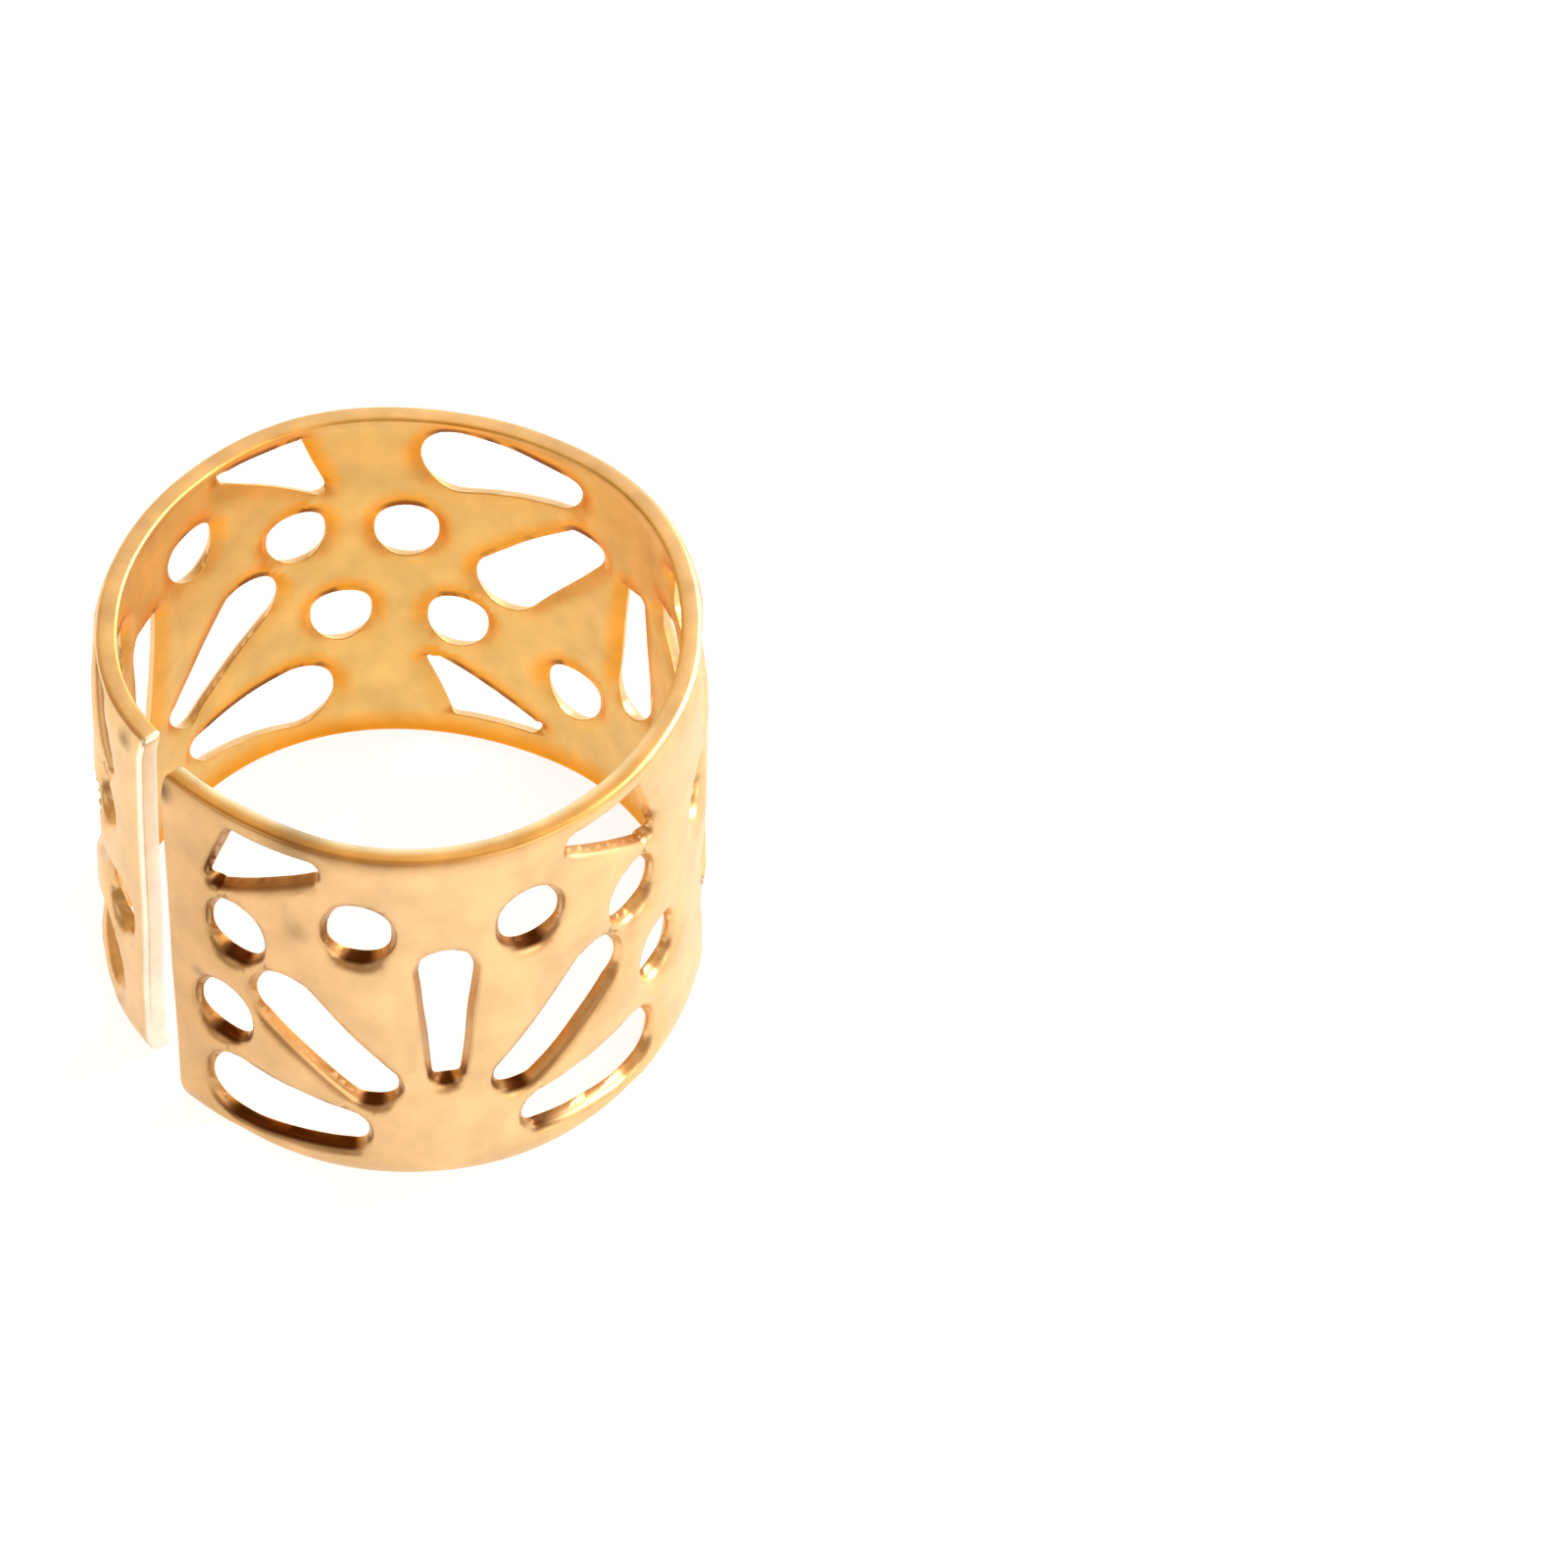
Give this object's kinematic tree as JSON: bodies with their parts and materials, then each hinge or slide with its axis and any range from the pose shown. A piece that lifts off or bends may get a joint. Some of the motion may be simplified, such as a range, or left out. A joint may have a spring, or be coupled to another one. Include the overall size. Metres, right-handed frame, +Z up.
{
  "type": "hair cuff bead",
  "caption": "Open ring of thin pierced sheet that squeezes shut round a braid or lock of hair, with half-daisy cut-outs.",
  "frame": {"origin": "centre of the bounding box, on the plane that the lower rim stands on", "axes": "+Z up the cuff's axis, the way the hair passes; the open slit is at the front left, towards -X and -Y"},
  "size_m": [0.01, 0.0108, 0.0074],
  "materials": {
    "gold_sheet": "polished pale gold plate with fine handling marks"
  },
  "bodies": {
    "root": {"cuff_band": "gold_sheet"}
  },
  "joints": []
}
